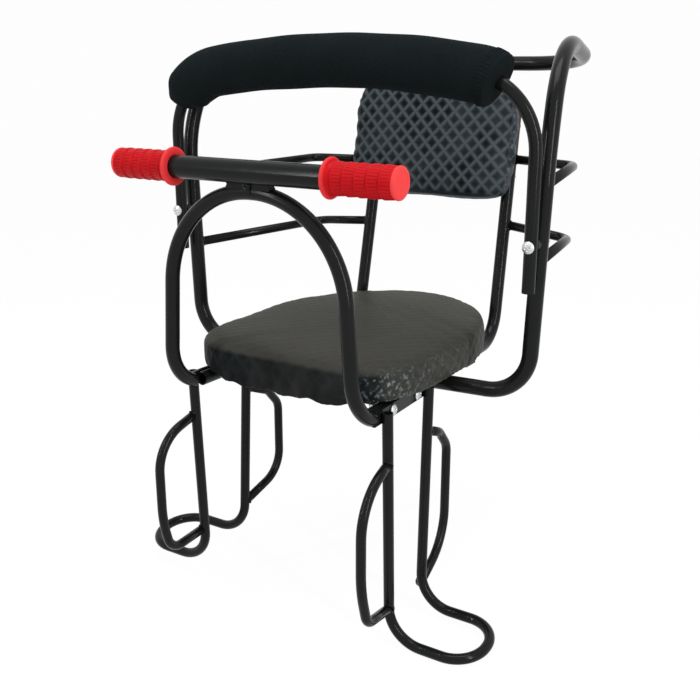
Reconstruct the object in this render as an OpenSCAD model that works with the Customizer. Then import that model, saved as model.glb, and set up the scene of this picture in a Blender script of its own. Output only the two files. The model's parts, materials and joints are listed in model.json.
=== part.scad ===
// Rear child bike seat: a bent steel tube frame with two padded cushions, a padded
// guard across the top, a front hoop with a grip bar, and two hanging footrests.
// Inside the modules, X runs to the rider's right, Y to the rear and Z up. Y is zero at the
// front ends of the seat rails and Z is zero on their centreline. The finished seat is then
// moved so that the row's origin is the middle of the four rack bolts, on the strips' underside.

/* [Seat rails] */
// Distance between the front ends of the two rails
rail_gap_front = 230; // [226:1:232]
// Distance between the rails at the rear bend
rail_gap_rear = 209; // [207:1:211]
// Length of each rail to its rear bend
rail_length = 333.5; // [331:0.5:336]
// Outer diameter of the rail and upright tube
rail_d = 16; // [15.6:0.1:16]
// Inside radius line of the bend from rail to upright
rail_bend = 45; // [40:1:48]
// How far the uprights lean back at their top
upright_lean = 65.5; // [63:0.5:68]

/* [Outer frame] */
// Outer diameter of the outer frame tube
frame_d = 18; // [17.6:0.1:18]
// Half width of the outer frame at its sides
frame_half_w = 240.5; // [240:0.5:241.5]
// Height of the crossbar above the rails
crossbar_z = 352; // [350:1:354]
// Height of the highest point of the side arms
arm_top_z = 383; // [381:1:385]

/* [Guard] */
// Outer diameter of the guard tube
guard_d = 14; // [13.6:0.1:14]
// Outer diameter of the padded roll
roll_d = 58; // [55:1:59]
// Height of the crown of the guard
guard_crown_z = 356; // [354:1:358]

/* [Front hoop and bar] */
// Outer diameter of the hoop tube
hoop_d = 16; // [15:0.5:16]
// Height of the hoop's centreline at its top
hoop_top_z = 229.5; // [228:0.5:231]
// Outer diameter of the grip bar
bar_d = 24; // [23:0.5:24]
// Overall length across the two grips
bar_length = 342; // [338:2:350]
// Length of each grip
grip_length = 79; // [76:1:82]
// Diameter of the ribbed body of a grip
grip_d = 32.6; // [32:0.2:34]
// Diameter of the flange of a grip
flange_d = 40; // [38:1:42]

/* [Cushions] */
// Width of the seat cushion
seat_w = 293; // [289:1:295]
// Depth of the seat cushion
seat_depth = 363; // [358:1:365]
// Height of the seat cushion's crown above the rails
seat_crown_z = 51.5; // [50:0.5:54]
// Width of the back cushion
back_w = 247; // [243:1:253]
// Height of the back cushion along its slope
back_h = 178; // [172:1:180]
// Thickness of the back cushion over its board
back_thick = 30; // [26:1:32]

/* [Footrests] */
// Outer diameter of the footrest tube
leg_d = 12; // [11.4:0.2:12]
// Depth of the footrest loops below the rails
foot_drop = 246; // [240:1:252]
// How much lower the right footrest hangs on this seat
right_foot_extra = 20; // [0:1:22]
// Reach of the footrest loop from the seat's middle
foot_reach = 235; // [229:1:240]
// Rod diameter of the foot guards and the side links
rod_d = 10; // [9:0.5:10]

/* [Rack mount] */
// Distance between the rack bolts across the seat
rack_gap_x = 110; // [90:5:150]
// Distance between the rack bolts along the seat
rack_gap_y = 180; // [178:1:182]
// Diameter of the rack bolt holes
rack_hole_d = 7; // [6.4:0.1:8.4]

/* [Hidden] */
$fn = 48;
$fa = 6;

LEFT = -1;
RIGHT = 1;

enamel = "#16181a";
knit = "#16201f";
vinyl = "#2e3436";
grip_red = "#e01f2b";
zinc = "#c3c6c8";
plywood = "#b98f5d";
foam_grey = "#5c5f60";

// A bend is drawn a hair thinner than the straights, which lap over its ends
bend_thinning = 0.03;
bend_lap = 0.6;
// Bends slower than this radius are drawn in finer steps
slow_bend_r = 90;
// Walls of the tubes
frame_wall = 1.5;
guard_wall = 1.2;
// Parts that touch are drawn this far apart
touch = 0.05;

// Row origin in seat coordinates
strip_w = 25;
strip_t = 4;
strip_front_y = 70;
strip_rear_y = strip_front_y + rack_gap_y;
strip_top_z = -rail_d / 2 - touch;
row_origin = [0, (strip_front_y + strip_rear_y) / 2, strip_top_z - strip_t];

// Rails and uprights: one tube, right half from the rail's front to the top bar
rail_front = [rail_gap_front / 2, 0, 0];
rail_corner = [rail_gap_rear / 2, rail_length, 0];
upright_in = 6.5;
slope_length = sqrt(pow(crossbar_z, 2) + pow(upright_lean, 2));
rail_yaw = atan((rail_gap_front - rail_gap_rear) / 2 / rail_length);
upright_tilt = atan(upright_lean / crossbar_z);
// The top bar lies against the underside of the crossbar
top_bar_s = slope_length - (rail_d + frame_d) / 2 - touch;
top_bar_ratio = top_bar_s / slope_length;
upright_top = [rail_gap_rear / 2 - upright_in * top_bar_ratio,
  rail_length + upright_lean * top_bar_ratio, crossbar_z * top_bar_ratio];
seat_half = [rail_front, rail_corner, upright_top];
seat_route = concat(seat_half, [for (i = [2 : -1 : 0]) flipped(seat_half[i])]);
top_bend = 50;
seat_bends = [0, rail_bend, top_bend, top_bend, rail_bend, 0];

// Outer frame, right half from the rail to the crossbar
crossbar_y = rail_length + upright_lean;
frame_y = 140.5;
side_low = [frame_half_w - 8.7, frame_y, 3];
side_high = [frame_half_w, frame_y, 271];
arm_corner = [frame_half_w - 11, frame_y + 50.5, arm_top_z];
rear_corner = [191.5, crossbar_y, crossbar_z];
foot_y = frame_y - 2.7;
frame_foot = [rail_gap_front / 2 - foot_y * tan(rail_yaw), foot_y, 0];
frame_half = [frame_foot, side_low, side_high, arm_corner, rear_corner];
frame_route = concat(frame_half, [for (i = [4 : -1 : 0]) flipped(frame_half[i])]);
frame_bends = [0, 50, 174, 102, 95, 95, 102, 174, 50, 0];

// Guard: two legs, two tight corners and one long crowned arc
guard_y = 115.5;
guard_half_w = 236.7;
guard_foot_z = 124;
guard_corner_r = 79;
guard_arc_r = 1136;
guard_arc_z = guard_crown_z - guard_arc_r;
guard_corner_x = guard_half_w - guard_corner_r;
guard_corner_z = guard_arc_z + sqrt(pow(guard_arc_r - guard_corner_r, 2) - pow(guard_corner_x, 2));
guard_half_angle = asin(guard_corner_x / (guard_arc_r - guard_corner_r));
guard_knee_z = guard_arc_z + guard_arc_r / cos(guard_half_angle) - guard_half_w * tan(guard_half_angle);
guard_peak_z = guard_arc_z + guard_arc_r / cos(guard_half_angle);
guard_route = [[guard_half_w, guard_y, guard_foot_z], [guard_half_w, guard_y, guard_knee_z],
  [0, guard_y, guard_peak_z],
  [-guard_half_w, guard_y, guard_knee_z], [-guard_half_w, guard_y, guard_foot_z]];
guard_bends = [0, guard_corner_r - 0.4, guard_arc_r - 3, guard_corner_r - 0.4, 0];
guard_bolt_x = 237;
guard_bolt_z = 173;
guard_bolt_l = 49;
// Where the roll stops being full: angles round the two corners, from the level
roll_left_angle = 46;
roll_right_angle = 75;
roll_left_nose = 22;
roll_right_nose = 10;
nose_step = 0.5;
foam_d = roll_d - 6;

// Front hoop
hoop_y = -42;
hoop_leg_top_x = 105.3;
hoop_foot_x = rail_gap_front / 2 + 7;
hoop_cut_y = -6.3;
hoop_foot_z = -4;
hoop_foot_bend = 55;
hoop_half = [[hoop_leg_top_x, hoop_y, hoop_top_z], [hoop_foot_x, hoop_y, hoop_foot_z],
  [hoop_foot_x, hoop_y + hoop_foot_bend + 8, hoop_foot_z]];
hoop_route = concat([for (i = [2 : -1 : 0]) flipped(hoop_half[i])], hoop_half);
hoop_r = 111.5;
hoop_bends = [0, hoop_foot_bend, hoop_r, hoop_r, hoop_foot_bend, 0];
hoop_arc_z = hoop_top_z - hoop_r;

// Grip bar
bar_y = -49;
bar_z = hoop_top_z + hoop_d / 2 + 1 + bar_d / 2;
grip_start = bar_length / 2 - grip_length;
flange_t = 4;
rib_count = 36;
rib_rows = 4;

// Fasteners
m6 = 6;
m6_hole = 6.6;
m5 = 5;
m5_hole = 5.6;
nut_flats = 10;
nut_t = 5;

// Footrest brackets, in the frame of the rail
bracket_t = 4;
bracket_h = 15;
bracket_front_y = -11;
bracket_rear_y = 112;
bracket_x = rail_d / 2 + touch;
bracket_bolt_ys = [28, 86];
leg_weld_x = bracket_x + bracket_t + touch + leg_d / 2;

// Board and bolts of the seat
board_t = 8;
board_z = rail_d / 2 + touch;
board_inset = 16;
seat_bolt_ys = [42, 228];
// Board and bolts of the back
back_board_t = 6;
back_board_n = rail_d / 2 + 0.1;
back_board_inset = 13;
back_mid_s = 268;
back_bolt_steps = [-53, 12];

function unit(v) = v / norm(v);
function flipped(p) = [-p[0], p[1], p[2]];
function turn(p, i) = acos(max(-1, min(1, unit(p[i] - p[i - 1]) * unit(p[i + 1] - p[i]))));
function is_end(p, i) = i == 0 || i == len(p) - 1;
function setback(p, r, i) = is_end(p, i) ? 0 : r[i] * tan(turn(p, i) / 2) - bend_lap;
function longer(p, by) = [for (i = [0 : len(p) - 1])
  i == 0 ? p[0] + by * unit(p[0] - p[1]) :
  i == len(p) - 1 ? p[i] + by * unit(p[i] - p[i - 1]) : p[i]];
// Point on the line from a to b at the height z
function at_z(a, b, z) = a + (b - a) * (z - a[2]) / (b[2] - a[2]);

// Stands its children's Z axis on the line from a to b
module along(a, b) {
  d = unit(b - a);
  translate(a) rotate([0, acos(d[2]), atan2(d[1], d[0])]) children();
}

// A round bar through the corners p, bent to the radii r
module bent_rod(p, r, d) {
  for (i = [0 : len(p) - 2]) {
    u = unit(p[i + 1] - p[i]);
    a = p[i] + u * setback(p, r, i);
    b = p[i + 1] - u * setback(p, r, i + 1);
    along(a, b) cylinder(d = d, h = norm(b - a));
  }
  for (i = [1 : len(p) - 2]) {
    u = unit(p[i] - p[i - 1]);
    v = unit(p[i + 1] - p[i]);
    n = unit(v - u * (u * v));
    c = p[i] - u * r[i] * tan(turn(p, i) / 2) + n * r[i];
    w = cross(-n, u);
    multmatrix([[-n[0], u[0], w[0], c[0]], [-n[1], u[1], w[1], c[1]], [-n[2], u[2], w[2], c[2]]])
      rotate_extrude(angle = turn(p, i), $fn = r[i] > slow_bend_r ? 480 : 60)
        translate([r[i], 0]) circle(d = d - 2 * bend_thinning, $fn = 48);
  }
}

// The same bar as a tube with open ends
module bent_tube(p, r, d, wall) {
  difference() {
    bent_rod(p, r, d);
    bent_rod(longer(p, 1), r, d - 2 * wall);
  }
}

module on_side(side) {
  if (side == LEFT) mirror([1, 0, 0]) children();
  else children();
}

// Moves the finished seat so that the rack bolts' middle is the origin
module in_row() {
  translate(-row_origin) children();
}

// Frame of the right rail: Y along the rail, X outward
module at_rail(y) {
  translate(rail_front) rotate([0, 0, rail_yaw]) translate([0, y, 0]) children();
}

// Frame of the backrest: Y up the slope from the rails, Z forward out of the uprights' line
module at_back(s) {
  translate([0, rail_length, 0]) rotate([90 - upright_tilt, 0, 0]) translate([0, s, 0]) children();
}

module cross_hole(d, length) {
  rotate([0, 90, 0]) cylinder(d = d, h = length, center = true);
}

module down_hole(d, length) {
  cylinder(d = d, h = length, center = true);
}

module domed_head(d, h) {
  rotate_extrude() intersection() {
    translate([0, h - d * 0.8]) circle(r = d * 0.8);
    square([d / 2, h]);
  }
}

module hex_nut(hole) {
  difference() {
    cylinder(d = nut_flats / cos(30), h = nut_t, $fn = 6);
    translate([0, 0, -1]) cylinder(d = hole, h = nut_t + 2);
  }
}

// Upright bolts pass along the backrest's normal
function upright_x(s) = rail_gap_rear / 2 - upright_in * s / slope_length;

module seat_tube() {
  color(enamel) in_row() difference() {
    bent_tube(seat_route, seat_bends, rail_d, frame_wall);
    for (side = [LEFT, RIGHT]) on_side(side) {
      for (y = bracket_bolt_ys) at_rail(y) cross_hole(m6_hole, 40);
      for (y = seat_bolt_ys) at_rail(y) down_hole(m5_hole, 40);
      for (step = back_bolt_steps) at_back(back_mid_s + step)
        translate([upright_x(back_mid_s + step), 0, 0]) down_hole(m5_hole, 40);
    }
  }
}

module outer_frame() {
  color(enamel) in_row() difference() {
    bent_tube(frame_route, frame_bends, frame_d, frame_wall);
    for (side = [LEFT, RIGHT]) on_side(side) {
      along(rail_front, rail_corner) cylinder(d = rail_d + 2 * touch, h = 260);
      translate([guard_bolt_x, frame_y, guard_bolt_z]) rotate([90, 0, 0]) down_hole(m6_hole, 40);
    }
  }
}

// A link reaches from the upright out and forward to the outer frame's side
module link(side, upright_z, elbow, frame_z) {
  start = at_z(rail_corner, upright_top, upright_z);
  end = at_z(side_low, side_high, frame_z);
  color(enamel) in_row() on_side(side) difference() {
    bent_rod([start, elbow, end], [0, 14, 0], rod_d);
    along(rail_corner, upright_top) cylinder(d = rail_d + 2 * touch, h = 360);
    along(side_low, side_high) cylinder(d = frame_d + 2 * touch, h = 300);
  }
}

module upper_link(side) link(side, 233, [194.5, 359, 230], 224.5);
module lower_link(side) link(side, 143, [189.5, 369, 136], 131.5);
module left_upper_link() upper_link(LEFT);
module right_upper_link() upper_link(RIGHT);
module left_lower_link() lower_link(LEFT);
module right_lower_link() lower_link(RIGHT);

module front_hoop() {
  color(enamel) in_row() difference() {
    bent_tube(hoop_route, hoop_bends, hoop_d, frame_wall);
    translate([-200, hoop_cut_y, -40]) cube([400, 80, 80]);
    for (side = [LEFT, RIGHT]) on_side(side) bracket_slot();
  }
}

// Formed gusset that fills the crevice between the hoop's top and the bar
module bar_saddle() {
  half = 27;
  color(enamel) in_row() difference() {
    union() {
      translate([-half, hoop_y - 7.5, hoop_top_z + 3]) cube([2 * half, 11, bar_z - hoop_top_z - 3]);
      translate([-4.5, hoop_y - 9, hoop_top_z - 1]) cube([9, 5, 11]);
    }
    translate([0, bar_y, bar_z]) cross_hole(bar_d + 2 * touch, 200);
    translate([0, hoop_y, hoop_arc_z]) rotate([90, 0, 0])
      rotate_extrude($fn = 360) translate([hoop_r, 0]) circle(d = hoop_d + 2 * touch, $fn = 48);
    for (side = [LEFT, RIGHT]) translate([side * (half + 0.6), hoop_y, hoop_top_z + hoop_d / 2 - 0.6])
      rotate([90, 0, 0]) down_hole(3.4, 40);
  }
}

module grip_bar() {
  color(enamel) in_row() translate([0, bar_y, bar_z]) rotate([0, 90, 0]) difference() {
    cylinder(d = bar_d, h = bar_length - 8, center = true);
    cylinder(d = bar_d - 2 * frame_wall, h = bar_length, center = true);
  }
}

// Outline of the fine lengthwise ribs
function rib_outline(r, depth) = [for (k = [0 : rib_count - 1]) for (q = [0 : 3])
  let (a = (k + [0, 0.28, 0.5, 0.78][q]) * 360 / rib_count, rr = q < 2 ? r : r - depth)
  [rr * cos(a), rr * sin(a)]];

module grip(side) {
  r = grip_d / 2;
  rib_start = flange_t + 5;
  row_step = (grip_length - rib_start - 6) / rib_rows;
  color(grip_red) in_row() on_side(side) translate([grip_start, bar_y, bar_z]) rotate([0, 90, 0])
    difference() {
      union() {
        rotate_extrude() union() {
          square([r - 1.2, grip_length - 5]);
          square([flange_d / 2 - 1.5, flange_t]);
          translate([flange_d / 2 - 2, flange_t / 2]) circle(r = flange_t / 2);
          translate([0, flange_t]) square([r - 0.4, 2.4]);
          translate([0, grip_length - 5]) square([r - 3.5, 5]);
          translate([r - 3.6, grip_length - 3.6]) circle(r = 3.6);
        }
        for (k = [0 : rib_rows - 1])
          translate([0, 0, rib_start + k * row_step]) rotate([0, 0, (k % 2) * 180 / rib_count])
            linear_extrude(row_step - 1.6) polygon(rib_outline(r, 0.8));
      }
      translate([0, 0, -1]) cylinder(d = bar_d + 2 * touch, h = grip_length - 2.6);
      translate([0, 0, grip_length - 0.8]) difference() {
        cylinder(r = 4.4, h = 2);
        translate([0, 0, -1]) cylinder(r = 2.6, h = 4);
      }
    }
}

module left_grip() grip(LEFT);
module right_grip() grip(RIGHT);

module guard_tube() {
  color(enamel) in_row() difference() {
    bent_tube(guard_route, guard_bends, guard_d, guard_wall);
    for (side = [LEFT, RIGHT])
      translate([side * (guard_bolt_x), guard_y, guard_bolt_z]) rotate([90, 0, 0]) down_hole(m6_hole, 30);
  }
}

// Frame at one end of the full roll: origin on the guard's centreline, Z out of the roll
module at_roll_end(side) {
  on_side(side) translate([guard_corner_x, guard_y, guard_corner_z])
    rotate([0, side == LEFT ? -roll_left_angle : -roll_right_angle, 0])
      translate([guard_corner_r, 0, 0]) rotate([180, 0, 0]) children();
}

// The guard's path thickened to d between the roll's two ends, longer by grow at each end
module roll_body(d, grow) {
  difference() {
    bent_rod(guard_route, guard_bends, d);
    for (side = [LEFT, RIGHT]) at_roll_end(side) translate([-100, -60, grow]) cube([160, 120, 400]);
    translate([-300, guard_y - 60, guard_foot_z - 20]) cube([600, 120, guard_corner_z - guard_foot_z + 20]);
  }
}

// A closed end of the roll: full at its root and drawn in to the tube over its length
module roll_nose(length, blunt) {
  r = roll_d / 2 - nose_step;
  middle = (r * r - blunt * blunt - length * length) / (2 * (r - blunt));
  rotate_extrude() union() {
    translate([0, -2]) square([r, 2.5]);
    square([blunt, length]);
    intersection() {
      translate([middle, 0]) circle(r = r - middle);
      square([r, length]);
    }
  }
}

module guard_foam() {
  color(foam_grey) in_row() difference() {
    roll_body(foam_d, 0);
    bent_rod(guard_route, guard_bends, guard_d + 0.2);
  }
}

module guard_cover() {
  color(knit) in_row() difference() {
    union() {
      roll_body(roll_d, 0);
      at_roll_end(LEFT) roll_nose(roll_left_nose, 13);
      at_roll_end(RIGHT) roll_nose(roll_right_nose, roll_d / 2 - nose_step - roll_right_nose);
    }
    roll_body(foam_d + 0.2, 0.2);
    bent_rod(guard_route, guard_bends, guard_d + 0.4);
  }
}

// Bushes that hold the guard tube clear of the outer frame
module guard_spacers() {
  gap_front = guard_y + guard_d / 2;
  gap_rear = frame_y - frame_d / 2;
  color(zinc) in_row() for (side = [LEFT, RIGHT])
    translate([side * (guard_bolt_x), gap_rear - touch, guard_bolt_z]) rotate([90, 0, 0]) difference() {
      cylinder(d = 11, h = gap_rear - gap_front - 2 * touch);
      translate([0, 0, -1]) cylinder(d = m6_hole, h = 30);
    }
}

module guard_bolts() {
  head_y = guard_y - guard_d / 2 - touch;
  color(zinc) in_row() for (side = [LEFT, RIGHT])
    translate([side * (guard_bolt_x), head_y, guard_bolt_z]) rotate([90, 0, 0]) {
      domed_head(13, 4.5);
      translate([0, 0, -guard_bolt_l]) cylinder(d = m6, h = guard_bolt_l + 0.5);
    }
}

module guard_nuts() {
  nut_y = frame_y + frame_d / 2 + 0.6;
  color(zinc) in_row() for (side = [LEFT, RIGHT])
    translate([side * (guard_bolt_x), nut_y, guard_bolt_z]) rotate([-90, 0, 0]) hex_nut(m6 + 0.1);
}

// Outline of a padded cushion as a distance from its middle: half width a, half length b,
// squarer at the low end than at the high end
function pad_r(t, a, b, square_low, square_high) = let (n = sin(t) < 0 ? square_low : square_high)
  pow(pow(abs(cos(t)) / a, n) + pow(abs(sin(t)) / b, n), -1 / n);

function pad_ring(a, b, nl, nh, inset, z, cy) = [for (k = [0 : pad_points - 1])
  let (t = k * 360 / pad_points, r = pad_r(t, a - inset, b - inset, nl, nh))
  [r * cos(t), cy + r * sin(t), z]];

pad_points = 64;

// Stacks rings of points into one closed skin with flat ends
module pad_skin(rings) {
  n = len(rings[0]);
  points = [for (ring = rings) for (p = ring) p];
  sides = [for (k = [0 : len(rings) - 2]) for (i = [0 : n - 1]) let (j = (i + 1) % n)
    [k * n + i, (k + 1) * n + i, (k + 1) * n + j, k * n + j]];
  low = [[for (i = [0 : n - 1]) i]];
  high = [[for (i = [n - 1 : -1 : 0]) (len(rings) - 1) * n + i]];
  polyhedron(points, concat(low, sides, high));
}

// The skirt hangs lower in front, between the rails
seat_skirt_drop = 6.5;
function skirt_z(p, z) = z > 18 || p[1] > 0 ? z :
  z - seat_skirt_drop * max(0, 1 - pow(abs(p[0]) / (rail_gap_front / 2 - 14), 6));

// Insets and heights of the seat cushion's rings, from the pocket over the board, down round
// the skirt and up over the crown
seat_profile = [[board_inset - 1, board_z + board_t + 0.1], [board_inset - 1, board_z + 1.5],
  [board_inset - 4, board_z + 0.6], [8, 9.4], [3.5, 12.2], [0.8, 17.6], [0, 24.2], [0.6, 31.2],
  [3, 37], [8, 41.4], [18, 45.2], [36, 48.2], [64, 50.3], [96, seat_crown_z - 0.3], [128, seat_crown_z]];
seat_mid_y = 175.5;
seat_square = [4.8, 1.9];

module seat_cushion() {
  color(vinyl) in_row() pad_skin([for (q = seat_profile)
    [for (p = pad_ring(seat_w / 2, seat_depth / 2, seat_square[0], seat_square[1], q[0], q[1], seat_mid_y))
      [p[0], p[1], q[0] > board_inset - 5 ? q[1] : skirt_z(p, q[1])]]]);
}

module seat_board() {
  color(plywood) in_row() difference() {
    translate([0, 0, board_z]) linear_extrude(board_t)
      polygon([for (p = pad_ring(seat_w / 2, seat_depth / 2, seat_square[0], seat_square[1],
        board_inset, 0, seat_mid_y)) [p[0], p[1]]]);
    for (side = [LEFT, RIGHT]) for (y = seat_bolt_ys) on_side(side) at_rail(y) {
      down_hole(7.2, 60);
      translate([0, 0, board_z + board_t - 1.4]) cylinder(d = 17, h = 3);
    }
  }
}

module m5_bolt(length) {
  domed_head(11, 3.4);
  translate([0, 0, -length]) cylinder(d = m5, h = length + 0.5);
}

module tee_nut() {
  difference() {
    union() {
      cylinder(d = 16, h = 1.2);
      translate([0, 0, -4.4]) cylinder(d = 7, h = 5);
    }
    translate([0, 0, -6]) cylinder(d = m5 + 0.1, h = 10);
  }
}

module seat_bolts() {
  color(zinc) in_row() for (side = [LEFT, RIGHT]) for (y = seat_bolt_ys)
    on_side(side) at_rail(y) translate([0, 0, -rail_d / 2 - touch]) rotate([180, 0, 0])
      m5_bolt(rail_d + board_t - 0.6);
}

module seat_tee_nuts() {
  color(zinc) in_row() for (side = [LEFT, RIGHT]) for (y = seat_bolt_ys)
    on_side(side) at_rail(y) translate([0, 0, board_z + board_t - 1.3]) tee_nut();
}

back_profile = [[back_board_inset - 1, back_board_n + back_board_t + 0.1], [back_board_inset - 1, back_board_n + 1],
  [back_board_inset - 4, back_board_n + 0.4], [6, 10.5], [2, 15], [0.2, 21], [0, 27], [1.5, 33],
  [5, 37.6], [12, 41], [24, 43.2], [42, 44.4], [64, back_board_n + back_board_t + back_thick + 1]];

back_square = [5.9, 2.8];

module back_cushion() {
  color(vinyl) in_row() at_back(0) pad_skin([for (q = back_profile)
    pad_ring(back_w / 2, back_h / 2, back_square[0], back_square[1], q[0], q[1], back_mid_s)]);
}

module back_board() {
  color(plywood) in_row() at_back(0) difference() {
    translate([0, 0, back_board_n]) linear_extrude(back_board_t)
      polygon([for (p = pad_ring(back_w / 2, back_h / 2, back_square[0], back_square[1],
        back_board_inset, 0, back_mid_s)) [p[0], p[1]]]);
    for (side = [LEFT, RIGHT]) for (step = back_bolt_steps)
      translate([side * upright_x(back_mid_s + step), back_mid_s + step, 0]) {
        down_hole(7.2, 60);
        translate([0, 0, back_board_n + back_board_t - 1.4]) cylinder(d = 17, h = 3);
      }
  }
}

module back_bolts() {
  color(zinc) in_row() at_back(0) for (side = [LEFT, RIGHT]) for (step = back_bolt_steps)
    translate([side * upright_x(back_mid_s + step), back_mid_s + step, -rail_d / 2 - touch])
      rotate([180, 0, 0]) m5_bolt(rail_d + back_board_t - 0.6);
}

module back_tee_nuts() {
  color(zinc) in_row() at_back(0) for (side = [LEFT, RIGHT]) for (step = back_bolt_steps)
    translate([side * upright_x(back_mid_s + step), back_mid_s + step, back_board_n + back_board_t - 1.3])
      tee_nut();
}

// Footrest: one tube down the front leg, out round the foot loop and up the rear leg. The legs'
// tops stand against the bracket's outer face, and the loop slopes down to the front.
leg_top_z = 5;
leg_front_y = 5.6;
leg_rear_y = 103.5;
front_leg_x = rail_gap_front / 2 + leg_weld_x / cos(rail_yaw) - leg_front_y * tan(rail_yaw);
rear_leg_x = rail_gap_front / 2 + leg_weld_x / cos(rail_yaw) - leg_rear_y * tan(rail_yaw);
foot_front_y = 15.3;
foot_rear_y = 90.6;
foot_slope = 3.5;
function foot_z(side, low) = -foot_drop - low * foot_slope - (side == RIGHT ? right_foot_extra : 0);
function front_leg(side) = [[front_leg_x, leg_front_y, leg_top_z],
  [front_leg_x, foot_front_y, foot_z(side, 1)]];
function rear_leg(side) = [[rear_leg_x, leg_rear_y, leg_top_z],
  [rear_leg_x + 2.4, foot_rear_y, foot_z(side, -1)]];
function foot_route(side) = concat(front_leg(side),
  [[foot_reach, foot_front_y, foot_z(side, 1)], [foot_reach, foot_rear_y, foot_z(side, -1)]],
  [rear_leg(side)[1], rear_leg(side)[0]]);
foot_bends = [0, 39.5, 36.5, 36.5, 39.5, 0];

module footrest(side) {
  color(enamel) in_row() on_side(side) bent_tube(foot_route(side), foot_bends, leg_d, frame_wall);
}

module left_footrest() footrest(LEFT);
module right_footrest() footrest(RIGHT);

// A foot guard is a bowed rod, welded by its two ends to one leg. The bow stands out of the
// leg's plane by out, its ends only by a small part of that.
module foot_guard(side, leg, out, bow, bends) {
  last = len(bow) - 1;
  a = at_z(leg[0], leg[1], bow[0][1]);
  b = at_z(leg[0], leg[1], bow[last][1]);
  path = [for (i = [0 : last]) i == 0 ? a + [0.3 * out, 0, 0] : i == last ? b + [0.3 * out, 0, 0] :
    [leg[0][0] + out, bow[i][0], bow[i][1]]];
  color(enamel) in_row() on_side(side) difference() {
    bent_rod(path, bends, rod_d);
    along(leg[0], leg[1]) cylinder(d = leg_d + 2 * touch, h = 280);
  }
}

// Corners of the bows as their distance along the seat and their height
function front_bow(side) = side == LEFT ?
  [[0, -51], [-54.3, -67], [-54.3, -171], [-43.6, -214], [0, -206]] :
  [[0, -51], [-54.3, -67], [-54.3, -171], [-43.6, -223], [0, -224.5]];
function rear_bow(side) = side == LEFT ?
  [[0, -42], [139, -58], [160.6, -81], [160.6, -159], [144, -184], [0, -196]] :
  [[0, -42], [139, -58], [160.6, -81], [160.6, -159], [144, -229], [0, -219]];

module front_foot_guard(side) foot_guard(side, front_leg(side), 4.8, front_bow(side), [0, 20, 40, 13, 0]);
module rear_foot_guard(side) foot_guard(side, rear_leg(side), -5, rear_bow(side), [0, 20, 18, 40, 16, 0]);
module left_front_foot_guard() front_foot_guard(LEFT);
module right_front_foot_guard() front_foot_guard(RIGHT);
module left_rear_foot_guard() rear_foot_guard(LEFT);
module right_rear_foot_guard() rear_foot_guard(RIGHT);

// Flat bar along the rail's outer side
module bracket(side) {
  color(enamel) in_row() on_side(side) difference() {
    at_rail(0) translate([bracket_x, bracket_front_y, -bracket_h / 2])
      cube([bracket_t, bracket_rear_y - bracket_front_y, bracket_h]);
    for (y = bracket_bolt_ys) at_rail(y) cross_hole(m6_hole, 60);
  }
}

// Slot in the hoop's end that takes the front of the bracket
module bracket_slot() {
  at_rail(0) translate([bracket_x - touch, bracket_front_y - touch, -bracket_h])
    cube([bracket_t + 2 * touch, 60, 2 * bracket_h]);
}

module left_bracket() bracket(LEFT);
module right_bracket() bracket(RIGHT);

module bracket_bolts() {
  color(zinc) in_row() for (side = [LEFT, RIGHT]) for (y = bracket_bolt_ys)
    on_side(side) at_rail(y) translate([bracket_x + bracket_t + touch, 0, 0]) rotate([0, 90, 0]) {
      domed_head(13, 4.5);
      translate([0, 0, -bracket_t - rail_d - 8]) cylinder(d = m6, h = bracket_t + rail_d + 8.5);
    }
}

module bracket_nuts() {
  color(zinc) in_row() for (side = [LEFT, RIGHT]) for (y = bracket_bolt_ys)
    on_side(side) at_rail(y) translate([-rail_d / 2 - touch, 0, 0]) rotate([0, -90, 0]) hex_nut(m6 + 0.1);
}

// Flat steel strip welded across under both rails
module rack_strip(y) {
  half = rail_gap_front / 2 - y * tan(rail_yaw) + 6;
  color(enamel) in_row() translate([0, y, strip_top_z - strip_t]) difference() {
    translate([-half, -strip_w / 2, 0]) cube([2 * half, strip_w, strip_t]);
    for (side = [LEFT, RIGHT]) translate([side * rack_gap_x / 2, 0, -1]) cylinder(d = rack_hole_d, h = strip_t + 2);
  }
}

module front_rack_strip() rack_strip(strip_front_y);
module rear_rack_strip() rack_strip(strip_rear_y);

seat_tube();
outer_frame();
left_upper_link();
right_upper_link();
left_lower_link();
right_lower_link();
front_hoop();
bar_saddle();
grip_bar();
left_grip();
right_grip();
guard_tube();
guard_foam();
guard_cover();
guard_spacers();
guard_bolts();
guard_nuts();
seat_cushion();
seat_board();
seat_bolts();
seat_tee_nuts();
back_cushion();
back_board();
back_bolts();
back_tee_nuts();
left_footrest();
right_footrest();
left_front_foot_guard();
right_front_foot_guard();
left_rear_foot_guard();
right_rear_foot_guard();
left_bracket();
right_bracket();
bracket_bolts();
bracket_nuts();
front_rack_strip();
rear_rack_strip();
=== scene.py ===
# Looks of a rear child bike seat: cushions, padded roll, grips, bolts, welds, materials,
# lights and camera. Lengths in the making functions are millimetres in the seat's own
# frame: X to the right, Y to the rear from the rails' front ends, Z up from their centreline.
import json
import math

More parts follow.
